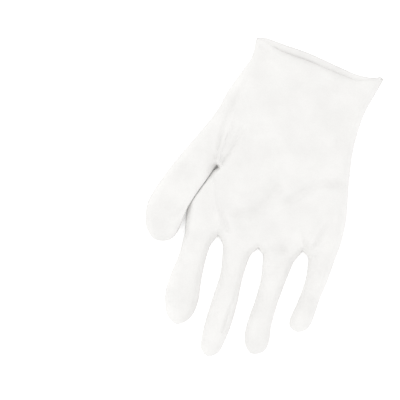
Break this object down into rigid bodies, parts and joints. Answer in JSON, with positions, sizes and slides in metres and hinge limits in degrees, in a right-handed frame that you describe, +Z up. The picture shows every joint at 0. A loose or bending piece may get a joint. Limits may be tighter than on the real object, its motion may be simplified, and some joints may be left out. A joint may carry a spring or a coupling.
{
  "type": "inspection glove",
  "caption": "Thin white cotton inspection glove lying flat with its palm up, two knit panels joined by one inside seam, thumb resting on the edge of the palm, raw open cuff.",
  "frame": {"origin": "on the surface that the glove lies on, under the middle of the palm", "axes": "+Z up out of the palm, -Y along the fingers and +Y out of the cuff, -X towards the thumb"},
  "size_m": [0.147, 0.2395, 0.0131],
  "materials": {
    "cotton_knit": "matte white fine cotton knit",
    "cotton_thread": "matte white overlock thread and knit edge"
  },
  "bodies": {
    "root": {"palm_panel": "cotton_knit", "back_panel": "cotton_knit", "outline_seam": "cotton_thread"}
  },
  "joints": []
}
